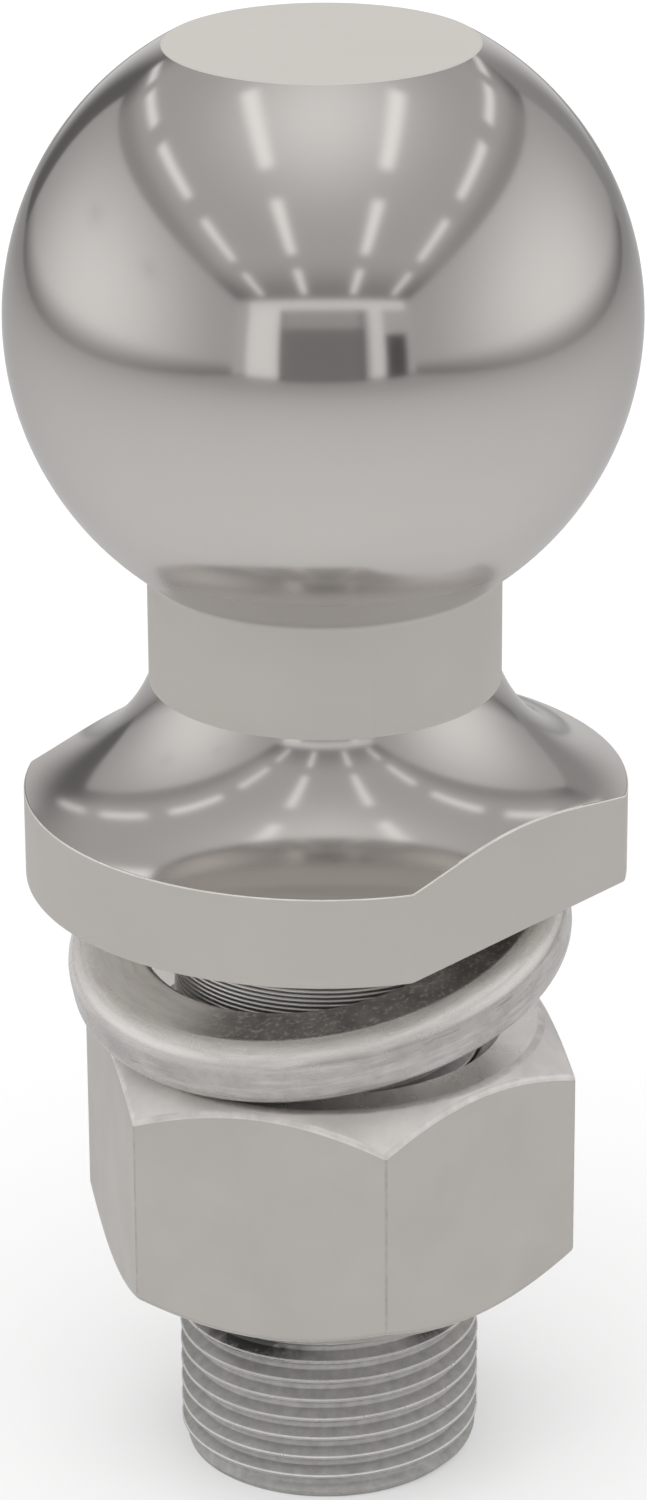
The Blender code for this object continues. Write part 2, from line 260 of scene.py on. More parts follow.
def combine(piece, tool, operation):
    """Joins or cuts with a Boolean, applies it and removes the tool."""
    modifier = piece.modifiers.new("combine", "BOOLEAN")
    modifier.operation = operation
    modifier.object = tool
    modifier.solver = "MANIFOLD"
    apply_modifiers(piece)
    bpy.data.objects.remove(tool)


def round_nut_edges(piece):
    """Rounds the chamfers' edges broadly and the upright corners less."""
    weights = piece.data.attributes.new("bevel_weight_edge", "FLOAT", "EDGE")
    shape = bmesh.new()
    shape.from_mesh(piece.data)
    for edge in shape.edges:
        if edge.calc_face_angle(0.0) > NUT_SOFTENED_ANGLE:
            along = (edge.verts[1].co - edge.verts[0].co).normalized()
            upright = abs(along.z) > UPRIGHT_RISE
            weights.data[edge.index].value = NUT_CORNER_EDGE / NUT_CHAMFER_EDGE if upright else 1.0
    shape.free()
    bevel = piece.modifiers.new("edges", "BEVEL")
    bevel.width = NUT_CHAMFER_EDGE
    bevel.segments = 3
    bevel.limit_method = "WEIGHT"
    apply_modifiers(piece)


def shade(piece):
    """Smooth shading that leans on the larger faces, with sharp edges kept."""
    piece.data.shade_smooth()
    piece.data.set_sharp_from_angle(angle=SHARP_ANGLE)
    normals = piece.modifiers.new("normals", "WEIGHTED_NORMAL")
    normals.keep_sharp = True


def helical_rod(name, half_section, bottom, top, limit):
    """A threaded rod between two heights.

    half_section lists (distance from the crest's middle, radius) up to half a pitch, and the rows of
    faces follow the helix. limit(radius, height) trims each point, for bevels and run-outs.
    """
    rows = [(-distance, radius) for distance, radius in reversed(half_section[1:-1])] + half_section
    first_turn = math.floor(bottom / THREAD_PITCH) - SPARE_TURNS
    turns = math.ceil((top - bottom) / THREAD_PITCH) + 2 * SPARE_TURNS
    shape = bmesh.new()
    grid = []
    for turn in range(first_turn, first_turn + turns):
        for offset, radius in rows:
            line = []
            for i in range(THREAD_STEPS):
                angle = 2 * math.pi * i / THREAD_STEPS
                height = THREAD_PITCH * (turn + 0.5 + (angle - THREAD_TURN) / (2 * math.pi)) + offset
                reach = limit(radius, height)
                line.append(shape.verts.new((reach * math.cos(angle), reach * math.sin(angle), height)))
            grid.append(line)
    for j in range(len(grid) - len(rows) - 1):
        for i in range(THREAD_STEPS):
            if i + 1 < THREAD_STEPS:
                right, right_above = grid[j][i + 1], grid[j + 1][i + 1]
            else:
                right, right_above = grid[j + len(rows)][0], grid[j + len(rows) + 1][0]
            shape.faces.new((grid[j][i], right, right_above, grid[j + 1][i]))
    for height, direction in ((bottom, -1.0), (top, 1.0)):
        everything = [*shape.verts, *shape.edges, *shape.faces]
        plane = {"plane_co": (0.0, 0.0, height), "plane_no": (0.0, 0.0, direction)}
        bmesh.ops.bisect_plane(shape, geom=everything, dist=MERGE_DISTANCE, clear_outer=True, **plane)
        open_edges = [edge for edge in shape.edges if edge.is_boundary]
        rim = [edge for edge in open_edges if abs(edge.verts[0].co.z - height) < PLANE_TOLERANCE]
        bmesh.ops.holes_fill(shape, edges=rim, sides=0)
    loose = [v for v in shape.verts if not v.link_faces]
    bmesh.ops.delete(shape, geom=loose, context="VERTS")
    return add_piece(name, shape)


def flange_reach(azimuth):
    """Distance from the axis to the flange's side, on the rim or on a wrench flat, with soft corners.

    Far from a flat only the rim counts, so there the cosine just has to stay away from zero.
    """
    off_flat = math.remainder(azimuth - WRENCH_FLAT_AZIMUTH, math.pi)
    flat = (FLANGE_RADIUS - WRENCH_FLAT_DEPTH) / max(0.5, math.cos(off_flat))
    return (FLANGE_RADIUS + flat - math.hypot(FLANGE_RADIUS - flat, WRENCH_CORNER)) / 2


def ball_profile():
    """Outer side of the forging from the top flat down to the foot of its neck."""
    fillet_radius = NECK_RADIUS + NECK_FILLET
    fillet_height = BALL_CENTRE - math.sqrt((BALL_RADIUS + NECK_FILLET) ** 2 - fillet_radius**2)
    fillet_start = math.atan2(BALL_CENTRE - fillet_height, -fillet_radius)
    fillet = arc((fillet_radius, fillet_height), NECK_FILLET, fillet_start, math.pi, FILLET_POINTS)
    top_angle = math.atan2(BALL_TOP - BALL_CENTRE, TOP_FLAT_RADIUS)
    low_angle = math.atan2(fillet[0][1] - BALL_CENTRE, fillet[0][0])
    upper = arc((0.0, BALL_CENTRE), BALL_RADIUS, top_angle, 0.0, BALL_POINTS)
    lower = arc((0.0, BALL_CENTRE), BALL_RADIUS, 0.0, low_angle, BALL_POINTS)
    top_edge = rounded_corner((0.0, BALL_TOP), upper[0], upper[1], TOP_FLAT_EDGE)
    return [(0.0, BALL_TOP), *top_edge, *upper[1:], *lower[1:], *fillet[1:]]


def flare_centre():
    """Middle of the flare's concave arc, which joins the neck's foot to the flange's rim."""
    neck_foot = Vector((NECK_RADIUS, NECK_BOTTOM))
    chord = Vector((FLANGE_RADIUS, FLANGE_TOP)) - neck_foot
    outward = Vector((-chord.y, chord.x)).normalized()
    return neck_foot + chord / 2 + outward * math.sqrt(FLARE_RADIUS**2 - (chord.length / 2) ** 2)


def flange_profile(azimuth):
    """Flare and flange at one azimuth, where the flare runs out to the rim or to a wrench flat."""
    centre = flare_centre()
    reach = flange_reach(azimuth)
    start = -math.acos((NECK_RADIUS - centre.x) / FLARE_RADIUS)
    end = -math.acos((reach - centre.x) / FLARE_RADIUS)
    flare = arc(centre, FLARE_RADIUS, start, end, FLARE_POINTS)
    foot, seat = (reach, FLANGE_BOTTOM), (0.0, FLANGE_BOTTOM)
    rim_edge = rounded_corner(flare[-2], flare[-1], foot, FLANGE_EDGE)
    foot_edge = rounded_corner(flare[-1], foot, seat, FLANGE_EDGE)
    return [*flare[:-1], *rim_edge, *foot_edge, seat]


def forging_angles():
    """Even columns, and closer ones where the wrench flats meet the rim."""
    half = math.acos((FLANGE_RADIUS - WRENCH_FLAT_DEPTH) / FLANGE_RADIUS)
    corners = [WRENCH_FLAT_AZIMUTH + turn + side * half for turn in (0.0, math.pi) for side in (-1, 1)]
    clear = math.radians(CORNER_COLUMNS[-1] + COLUMN_GAP)
    even = [
        angle for angle in even_angles(TURNED_STEPS)
        if all(abs(math.remainder(angle - corner, 2 * math.pi)) > clear for corner in corners)
    ]
    steps = [math.radians(step) for step in CORNER_COLUMNS]
    close = [(corner + step) % (2 * math.pi) for corner in corners for step in steps]
    return sorted(even + close)


def shank_section():
    """Half of one thread of the shank, from the crest's middle to the root's."""
    root_radius = SHANK_RADIUS - THREAD_DEPTH
    crest = THREAD_CREST_WIDTH / 2
    root = crest + THREAD_DEPTH * THREAD_SLOPE
    return [
        (0.0, SHANK_RADIUS),
        (crest - CREST_EDGE / 2, SHANK_RADIUS),
        (crest + CREST_EDGE / 2, SHANK_RADIUS - CREST_EDGE),
        (root - ROOT_ROUNDING, root_radius + ROOT_ROUNDING / THREAD_SLOPE / 2),
        (root, root_radius + ROOT_ROUNDING / THREAD_SLOPE / 6),
        (root + ROOT_ROUNDING, root_radius),
        (THREAD_PITCH / 2, root_radius),
    ]


def trim_shank(radius, height):
    """Bevels the shank's end and lets its thread run out at the top."""
    share = min(1.0, max(0.0, height) / SHANK_END_BEVEL_LENGTH)
    bevelled = SHANK_RADIUS - SHANK_END_BEVEL * (1.0 - share)
    climb = max(0.0, height - (THREAD_TOP - THREAD_RUN_OUT)) * THREAD_DEPTH / THREAD_PITCH
    return min(bevelled, max(radius, SHANK_RADIUS - THREAD_DEPTH + climb))


def make_forging():
    """Ball, neck and flange as one loft, joined to the threaded shank."""
    ball = ball_profile()
    piece = loft("plated_tow_ball", forging_angles(), lambda angle: ball + flange_profile(angle))
    top = FLANGE_BOTTOM + FLANGE_THICKNESS / 2
    combine(piece, helical_rod("shank", shank_section(), 0.0, top, trim_shank), "UNION")
    # Strength of the nut's painted shade on the thread, at each point
    nut_shadow = piece.data.attributes.new(NUT_SHADOW, "FLOAT", "POINT")
    nut_shadow.data.foreach_set("value", [nut_shadow_at(vertex.co) for vertex in piece.data.vertices])
    shade(piece)
    apply_modifiers(piece)
    return piece


def nut_shadow_at(point):
    """How dark a point of the shank is painted, by the marks of painted shade just under the nut."""
    azimuth = math.degrees(math.atan2(point.y, point.x))
    below = NUT_BOTTOM - point.z
    if below <= 0 or point.xy.length >= SHANK_RADIUS + CREST_EDGE:
        return 0.0
    return sum(
        strength * bell(azimuth - middle, below - depth, half_width, half_height)
        for middle, half_width, depth, half_height, strength in NUT_SHADOW_MARKS
    )


def nut_thread_section():
    """Half of one thread of the space inside the nut, from its crest's middle outward."""
    crest_radius = SHANK_RADIUS + THREAD_RADIAL_CLEARANCE
    bore_radius = SHANK_RADIUS - THREAD_DEPTH + THREAD_RADIAL_CLEARANCE
    half = THREAD_CREST_WIDTH / 2 + THREAD_FLANK_CLEARANCE
    crest = half - THREAD_RADIAL_CLEARANCE * THREAD_SLOPE
    bore = half + (SHANK_RADIUS - bore_radius) * THREAD_SLOPE
    return [
        (0.0, crest_radius),
        (crest, crest_radius),
        (bore, bore_radius),
        (THREAD_PITCH / 2, bore_radius),
    ]


def make_nut():
    """A hexagon inside a chamfered envelope, less its thread and the countersinks at both mouths."""
    corner_radius = NUT_ACROSS_FLATS / math.sqrt(3)
    height = NUT_TOP - NUT_BOTTOM
    shape = bmesh.new()
    radii = {"radius1": corner_radius, "radius2": corner_radius}
    bmesh.ops.create_cone(shape, cap_ends=True, segments=6, depth=height + CUT_MARGIN, **radii)
    first_corner = max(shape.verts, key=lambda vertex: vertex.co.x).co
    turn = NUT_CORNER_AZIMUTH - math.atan2(first_corner.y, first_corner.x)
    bmesh.ops.rotate(shape, matrix=Matrix.Rotation(turn, 3, "Z"), verts=shape.verts)
    bmesh.ops.translate(shape, vec=(0.0, 0.0, (NUT_TOP + NUT_BOTTOM) / 2), verts=shape.verts)
    piece = add_piece("chamfered_hex_nut", shape)

    face_radius = NUT_ACROSS_FLATS / 2 - NUT_FACE_INSET
    reach = corner_radius + CUT_MARGIN
    drop = (reach - face_radius) * math.tan(NUT_CHAMFER_ANGLE)
    upper = [(0.0, NUT_TOP), (face_radius, NUT_TOP), (reach, NUT_TOP - drop)]
    lower = [(reach, NUT_BOTTOM + drop), (face_radius, NUT_BOTTOM), (0.0, NUT_BOTTOM)]
    combine(piece, revolve("envelope", upper + lower), "INTERSECT")
    round_nut_edges(piece)

    low, high = NUT_BOTTOM - CUT_MARGIN, NUT_TOP + CUT_MARGIN
    rod = helical_rod("nut_thread", nut_thread_section(), low, high, lambda radius, height: radius)
    combine(piece, rod, "DIFFERENCE")
    mouth = SHANK_RADIUS + THREAD_RADIAL_CLEARANCE + NUT_COUNTERSINK
    for face, inward in ((NUT_TOP, -1.0), (NUT_BOTTOM, 1.0)):
        points = [(0.0, face - inward * CUT_MARGIN), (mouth, face - inward * CUT_MARGIN)]
        points += [(mouth, face), (0.0, face + inward * mouth)]
        if inward > 0:
            points.reverse()
        combine(piece, revolve("countersink", points), "DIFFERENCE")
    shade(piece)
    return piece


def bar_section():
    """Cross-section of the washer's bar, rounder outside than inside, centred at height zero.

    It starts on the outer side and goes up over the top. One more point lies beside the top's outer edge,
    so that the edge's painted highlight can end there.
    """
    half = WASHER_BAR_HEIGHT / 2
    near, inner = WASHER_BORE_RADIUS + WASHER_INNER_ROUNDING, WASHER_INNER_ROUNDING
    far, outer = WASHER_BORE_RADIUS + WASHER_BAR_WIDTH - WASHER_OUTER_ROUNDING, WASHER_OUTER_ROUNDING
    corners = [
        (far, half - outer, outer),
        (near, half - inner, inner),
        (near, inner - half, inner),
        (far, outer - half, outer),
    ]
    points = []
    for i, (radius, height, rounding) in enumerate(corners):
        start = i * math.pi / 2
        points += arc((radius, height), rounding, start, start + math.pi / 2, BAR_CORNER_POINTS)
        if i == 0:
            points.append((far - HIGHLIGHT_BORDER, half))
    return points


def highlight_at(index, azimuth):
    """How far a point of the bar's section is painted bright.

    The upper outer edge gets a painted highlight all round, and the top face beside it gets painted light
    only round one azimuth.
    """
    if index < BAR_CORNER_POINTS:
        return smooth(index / (BAR_CORNER_POINTS - 1), *HIGHLIGHT_EDGE_FADE)
    if index < BAR_CORNER_POINTS + LIT_TOP_POINTS:
        return smooth(math.cos(azimuth - LIT_TOP_AZIMUTH), *LIT_TOP_FADE)
    return 0.0


def make_washer():
    """The open coil, split at its azimuth and leaning about its own middle."""
    section = bar_section()
    sweep = 2 * math.pi - WASHER_SPLIT_ANGLE
    first = WASHER_SPLIT_AZIMUTH + WASHER_SPLIT_ANGLE / 2
    hinge_line = Vector((-math.sin(WASHER_HIGH_AZIMUTH), math.cos(WASHER_HIGH_AZIMUTH), 0.0))
    lean = Matrix.Rotation(-WASHER_LEAN, 4, hinge_line)
    bar_middle = WASHER_BORE_RADIUS + WASHER_BAR_WIDTH / 2
    shape = bmesh.new()
    rings, places = [], []
    for step in range(WASHER_STEPS + 1):
        share = step / WASHER_STEPS
        along = sweep * share * bar_middle / STREAK_STRETCH
        places += [(radius, height, along) for radius, height in section]
        turn = Matrix.Rotation(first + sweep * share, 4, "Z")
        rise = WASHER_COIL_RISE * (share - 0.5)
        rings.append([
            shape.verts.new(lean @ turn @ Vector((radius, 0.0, height + rise)) + WASHER_OFFSET)
            for radius, height in section
        ])
    for ring, following in zip(rings, rings[1:]):
        for i in range(len(section)):
            j = (i + 1) % len(section)
            shape.faces.new((ring[i], following[i], following[j], ring[j]))
    shape.faces.new(rings[0])
    shape.faces.new(rings[-1])
    lift = washer_high.z - max(vertex.co.z for vertex in shape.verts)
    bmesh.ops.translate(shape, vec=(0.0, 0.0, lift), verts=shape.verts)
    piece = add_piece("split_lock_washer", shape)
    # Painted highlight on the bar's upper outer edge, and painted light on its top face round one azimuth
    painted_highlight = piece.data.attributes.new(PAINTED_HIGHLIGHT_EDGE, "FLOAT", "POINT")
    painted_highlight.data.foreach_set("value", [
        highlight_at(i % len(section), math.atan2(vertex.co.y, vertex.co.x))
        for i, vertex in enumerate(piece.data.vertices)
    ])
    bar_places = piece.data.attributes.new(BAR_PLACE, "FLOAT_VECTOR", "POINT")
    for point, bar_place in zip(bar_places.data, places):
        point.vector = bar_place
    shade(piece)
    return piece


def new_material(name, colour, metallic, roughness, edge_tint=1.0):
    """A Principled material; returns it with its nodes and shader."""
    material = bpy.data.materials.new(name)
    material.use_nodes = True
    tree = material.node_tree
    shader = tree.nodes["Principled BSDF"]
    shader.inputs["Base Color"].default_value = (*colour, 1.0)
    shader.inputs["Metallic"].default_value = metallic
    shader.inputs["Roughness"].default_value = roughness
    shader.inputs["Specular Tint"].default_value = (edge_tint, edge_tint, edge_tint, 1.0)
    return material, tree, shader


def carried(tree, name, output="Fac"):
    """What the points of the mesh carry under a name."""
    node = tree.nodes.new("ShaderNodeAttribute")
    node.attribute_name = name
    return node.outputs[output]


def object_place(tree):
    return tree.nodes.new("ShaderNodeTexCoord").outputs["Object"]


def calculate(tree, operation, first, second):
    node = tree.nodes.new("ShaderNodeMath")
    node.operation = operation
    tree.links.new(first, node.inputs[0])
    tree.links.new(second, node.inputs[1])
    return node.outputs["Value"]


def noise(tree, scale, detail=3.0, roughness=0.5, place=None):
    """Noise with scale in features per metre, in object space or in the space of a carried place."""
    texture = tree.nodes.new("ShaderNodeTexNoise")
    texture.inputs["Scale"].default_value = scale
    texture.inputs["Detail"].default_value = detail
    texture.inputs["Roughness"].default_value = roughness
    position = carried(tree, place, "Vector") if place else object_place(tree)
    tree.links.new(position, texture.inputs["Vector"])
    return texture.outputs["Fac"]


def spread(tree, value, low, high, first=0.3, last=0.7):
    """Maps first..last to low..high and stops at both ends. Noise fills the default range."""
    ranged = tree.nodes.new("ShaderNodeMapRange")
    ranged.inputs["From Min"].default_value = first
    ranged.inputs["From Max"].default_value = last
    ranged.inputs["To Min"].default_value = low
    ranged.inputs["To Max"].default_value = high
    tree.links.new(value, ranged.inputs["Value"])
    return ranged.outputs["Result"]


def blend_colours(tree, factor, first, second):
    mix = tree.nodes.new("ShaderNodeMix")
    mix.data_type = "RGBA"
    tree.links.new(factor, mix.inputs["Factor"])
    for socket, colour in ((mix.inputs["A"], first), (mix.inputs["B"], second)):
        if isinstance(colour, tuple):
            socket.default_value = (*colour, 1.0)
        else:
            tree.links.new(colour, socket)
    return mix.outputs["Result"]


def cover(tree, shader, share, colour):
    """Covers the shader's tone with a colour, by a share from 0 to 1."""
    socket = shader.inputs["Base Color"]
    tone = socket.links[0].from_socket
    tree.links.new(blend_colours(tree, share, tone, colour), socket)


def bump(tree, shader, height, strength, distance):
    node = tree.nodes.new("ShaderNodeBump")
    node.inputs["Strength"].default_value = strength
    node.inputs["Distance"].default_value = distance
    tree.links.new(height, node.inputs["Height"])
    tree.links.new(node.outputs["Normal"], shader.inputs["Normal"])


def plated(level, tint=PLATE_TINT):
    """A level of grey in the tint that the plating or the bare steel has."""
    return tuple(level * share for share in tint)


# Every plated metal's clouds of tone, haze of roughness and grain
CLOUD_DETAIL = 5.0
CLOUD_ROUGHNESS = 0.6
HAZE_FINENESS = 1.7
HAZE_DETAIL = 4.0
HAZE_SHARE = 0.12
GRAIN_STRENGTH = 0.3


def plated_metal(name, level, metallic, roughness, mottle, grain, tint=PLATE_TINT, edge_tint=1.0):
    """Plated metal with cloudy tone and roughness and a fine grain.

    mottle is (features per metre, share of the tone), and grain is (features per metre, depth).
    """
    material, tree, shader = new_material(name, plated(level, tint), metallic, roughness, edge_tint)
    fineness, contrast = mottle
    clouds = spread(tree, noise(tree, fineness, CLOUD_DETAIL, CLOUD_ROUGHNESS), 0.0, 1.0)
    darker, lighter = plated(level * (1 - contrast), tint), plated(level * (1 + contrast), tint)
    tree.links.new(blend_colours(tree, clouds, darker, lighter), shader.inputs["Base Color"])
    haze = noise(tree, fineness * HAZE_FINENESS, HAZE_DETAIL)
    haze = spread(tree, haze, roughness * (1 - HAZE_SHARE), roughness * (1 + HAZE_SHARE))
    tree.links.new(haze, shader.inputs["Roughness"])
    bump(tree, shader, noise(tree, grain[0]), GRAIN_STRENGTH, grain[1])
    return material, tree, shader


# Finishes that are plated metal alone: level, metallic, roughness, mottle, grain and tint.
# The flange's edge, the crests and the nut's chamfers and edges are painted lighter, as painted
# highlights.
# The nut's bearing faces and countersinks are painted lighter, as painted light against the washer's
# shadow, and shine most.
# The nut's upright corners are painted darker, as a painted shade line.
SATIN = (0.5, 0.5, (60.0, 0.015), (2500.0, 0.006 * MM), SATIN_TINT)
PLAIN_FINISHES = {
    "satin_top": (0.655, *SATIN),
    "satin_neck": (0.67, *SATIN),
    "satin_flange": (0.615, *SATIN),
    # Painted highlights: the flange's edge and the crests' edges are lighter than the faces beside them
    "flange_edge_highlight": (0.86, 0.5, 0.3, (400.0, 0.1), (2500.0, 0.004 * MM), PLATE_TINT),
    "crest_highlight": (0.98, 0.4, 0.3, (500.0, 0.08), (2500.0, 0.004 * MM), STEEL_TINT),
    "nut_zinc": (0.6, 0.6, 0.45, (120.0, 0.03), (3000.0, 0.008 * MM), SATIN_TINT),
    # Painted highlights on the nut's chamfers and edges, painted shade on its upright corners, and
    # painted light on its bearing faces and countersinks
    "nut_chamfer_highlight": (0.9, 0.6, 0.34, (180.0, 0.12), (1500.0, 0.012 * MM), WASHER_TINT),
    "nut_edge_highlight": (0.84, 0.6, 0.36, (600.0, 0.14), (1500.0, 0.006 * MM), WASHER_TINT),
    "nut_corner_shade": (0.53, 0.5, 0.5, (1200.0, 0.12), (2500.0, 0.01 * MM), SATIN_TINT),
    "nut_bearing_lit": (0.84, 0.8, 0.26, (300.0, 0.08), (2000.0, 0.002 * MM), WASHER_TINT),
}


def plain_finish(name):
    return plated_metal(name, *PLAIN_FINISHES[name])[0]


def chrome(name, roughness):
    mottle, grain = (40.0, 0.015), (900.0, 0.001 * MM)
    return plated_metal(
        name, level=0.66, metallic=1.0, roughness=roughness, mottle=mottle, grain=grain, edge_tint=0.82
    )


def chrome_ball():
    """Polished, and duller toward the neck."""
    material, tree, shader = chrome("chrome_ball", 0.1)
    axes = tree.nodes.new("ShaderNodeSeparateXYZ")
    tree.links.new(object_place(tree), axes.inputs["Vector"])
    dull_height = BALL_CENTRE - 0.78 * BALL_RADIUS
    polished_height = BALL_CENTRE - 0.5 * BALL_RADIUS
    for socket, dull, polished in (("Roughness", 0.34, 0.11), ("Metallic", 0.6, 1.0)):
        value = spread(tree, axes.outputs["Z"], dull, polished, dull_height, polished_height)
        tree.links.new(value, shader.inputs[socket])
    return material


def chrome_flare():
    return chrome("chrome_flare", 0.13)[0]


def turned_steel():
    """Plain shank, with the fine rings that turning leaves."""
    dark, light = plated(0.46, STEEL_TINT), plated(0.95, STEEL_TINT)
    period_at_scale_one = math.pi / 10
    middle = plated(0.7, STEEL_TINT)
    material, tree, shader = new_material("turned_steel", middle, metallic=0.7, roughness=0.3)
    rings = tree.nodes.new("ShaderNodeTexWave")
    rings.bands_direction = "Z"
    rings.inputs["Scale"].default_value = period_at_scale_one / TURNING_FEED
    rings.inputs["Distortion"].default_value = 0.4
    tree.links.new(object_place(tree), rings.inputs["Vector"])
    bump(tree, shader, rings.outputs["Fac"], strength=1.0, distance=0.08 * MM)
    tree.links.new(blend_colours(tree, rings.outputs["Fac"], dark, light), shader.inputs["Base Color"])
    return material


def thread_flank():
    """Cut flanks of the thread, finely mottled, with dark patches of the nut's painted shade where the
    points carry it.
    """
    material, tree, shader = plated_metal(
        "thread_flank", level=0.55, metallic=0.6, roughness=0.4,
        mottle=(1100.0, 0.14), grain=(2600.0, 0.012 * MM), tint=STEEL_TINT,
    )
    patches = spread(tree, noise(tree, 700.0, detail=5.0, roughness=0.7), 0.35, 1.0, first=0.35, last=0.6)
    # Painted shade of the nut: the flanks darken where the points carry it
    nut_shadow = calculate(tree, "MULTIPLY", carried(tree, NUT_SHADOW), patches)
    cover(tree, shader, nut_shadow, plated(0.1, STEEL_TINT))
    return material


def paint_highlight(tree, shader, metallic):
    """Paints an uneven highlight: turns the tone bright and less mirror-like where the points carry the
    painted highlight.
    """
    uneven = noise(tree, 1400.0, detail=5.0, roughness=0.7, place=BAR_PLACE)
    uneven = spread(tree, uneven, 0.75, 1.0, first=0.3, last=0.55)
    share = calculate(tree, "MULTIPLY", carried(tree, PAINTED_HIGHLIGHT_EDGE), uneven)
    cover(tree, shader, share, plated(1.0, WASHER_TINT))
    painted_highlight_metallic = 0.32
    tree.links.new(spread(tree, share, metallic, painted_highlight_metallic, 0.0, 1.0), shader.inputs["Metallic"])


def washer_zinc():
    """Zinc with light streaks and dark scratches along the bar, and pits, with a painted highlight at its
    edge.
    """
    metallic = 0.9
    material, tree, shader = plated_metal(
        "washer_zinc", level=0.52, metallic=metallic, roughness=0.26,
        mottle=(500.0, 0.12), grain=(1600.0, 0.006 * MM), tint=WASHER_TINT,
    )
    streaks = noise(tree, 1500.0, detail=5.0, roughness=0.65, place=BAR_PLACE)
    scratches = noise(tree, 2400.0, detail=4.0, roughness=0.7, place=BAR_PLACE)
    pits = noise(tree, 1000.0, detail=4.0, roughness=0.7)
    cover(tree, shader, spread(tree, streaks, 0.0, 0.45, first=0.5, last=0.66), plated(0.78, WASHER_TINT))
    cover(tree, shader, spread(tree, scratches, 0.75, 0.0, first=0.3, last=0.4), plated(0.3, WASHER_TINT))
    cover(tree, shader, spread(tree, pits, 1.0, 0.0, first=0.24, last=0.29), plated(0.12, WASHER_TINT))
    paint_highlight(tree, shader, metallic)
    grooves = noise(tree, 1800.0, detail=4.0, roughness=0.6, place=BAR_PLACE)
    bump(tree, shader, grooves, strength=0.5, distance=0.03 * MM)
    return material


def washer_top_shaded():
    """Top face, darker than the rest of the bar as painted shade under the flange, mottled, with fine
    light flecks.
    """
    metallic = 0.85
    material, tree, shader = plated_metal(
        "washer_top_shaded", level=0.35, metallic=metallic, roughness=0.34,
        mottle=(500.0, 0.3), grain=(1600.0, 0.012 * MM), tint=WASHER_TINT,
    )
    flecks = noise(tree, 2200.0, detail=4.0, roughness=0.65)
    cover(tree, shader, spread(tree, flecks, 0.0, 0.75, first=0.52, last=0.64), plated(0.75, WASHER_TINT))
    paint_highlight(tree, shader, metallic)
    return material


# What tells the faces of a piece apart: distances in metres, the height of the face's normal, and an
# angle in radians
FACE_MARGIN = 0.05 * MM
FLANGE_EDGE_LEAN = (0.15, 0.85)
UPRIGHT_LEAN = 0.05
FLAT_LEAN = 0.999
CHAMFER_TOLERANCE = 0.02
COUNTERSINK_TOLERANCE = 0.05
OFF_FACET = 0.05


def paint_forging(piece):
    """Gives each part of the forging its finish by where its faces lie."""
    finishes = (
        chrome_ball(), chrome_flare(), plain_finish("satin_top"), plain_finish("satin_neck"),
        plain_finish("satin_flange"), plain_finish("flange_edge_highlight"), turned_steel(), thread_flank(),
        plain_finish("crest_highlight"),
    )
    for material in finishes:
        piece.data.materials.append(material)
    ball, flare, top, neck, flange, rim, turned, flank, crest = range(len(finishes))
    flat_distance = FLANGE_RADIUS - WRENCH_FLAT_DEPTH
    flat_normal = Vector((math.cos(WRENCH_FLAT_AZIMUTH), math.sin(WRENCH_FLAT_AZIMUTH), 0.0))
    for face in piece.data.polygons:
        centre = face.center
        reach = centre.xy.length
        if centre.z > BALL_TOP - FACE_MARGIN:
            finish = top
        elif centre.z > NECK_BOTTOM:
            finish = neck if centre.z < NECK_TOP and reach < NECK_RADIUS + NECK_FILLET else ball
        elif centre.z > FLANGE_BOTTOM - FACE_MARGIN:
            on_flat = abs(centre.dot(flat_normal)) > flat_distance - FACE_MARGIN
            beside = on_flat or reach > FLANGE_RADIUS - FACE_MARGIN
            inset = flange_reach(math.atan2(centre.y, centre.x)) - reach
            if inset < FLANGE_EDGE and FLANGE_EDGE_LEAN[0] < face.normal.z < FLANGE_EDGE_LEAN[1]:
                finish = rim
            else:
                finish = flange if beside or centre.z < FLANGE_BOTTOM + FACE_MARGIN else flare
        elif centre.z > THREAD_TOP:
            finish = turned
        else:
            on_edge = SHANK_RADIUS - CREST_EDGE < reach < SHANK_RADIUS - CREST_EDGE / 5
            finish = crest if on_edge and centre.z > SHANK_END_BEVEL_LENGTH else flank
        face.material_index = finish


def true_normals(piece):
    """Exact normals on the ball and the flare, whose columns are uneven beside the wrench flats."""
    mesh = piece.data
    ball_centre = Vector((0.0, 0.0, BALL_CENTRE))
    arc_centre = flare_centre()
    tolerance = 0.002 * MM
    normals = [corner.vector.copy() for corner in mesh.corner_normals]
    for face in mesh.polygons:
        finish = mesh.materials[face.material_index].name
        for corner in face.loop_indices:
            point = mesh.vertices[mesh.loops[corner].vertex_index].co
            reach = point.xy.length
            if finish == "chrome_ball" and abs((point - ball_centre).length - BALL_RADIUS) < tolerance:
                normals[corner] = (point - ball_centre).normalized()
            elif finish == "chrome_flare":
                inward = arc_centre - Vector((reach, point.z))
                if abs(inward.length - FLARE_RADIUS) < tolerance:
                    slope = inward.normalized()
                    outward = point.xy * slope.x / reach
                    normals[corner] = Vector((outward.x, outward.y, slope.y))
    mesh.normals_split_custom_set(normals)


def paint_washer(piece):
    """One finish for the top face and its inner edge, darker as painted shade under the flange, and
    another for the rest of the bar.
    """
    for maker in (washer_zinc, washer_top_shaded):
        piece.data.materials.append(maker())
    points = len(bar_section())
    for face in piece.data.polygons[:WASHER_STEPS * points]:
        face.material_index = int(BAR_CORNER_POINTS <= face.index % points < 2 * BAR_CORNER_POINTS)


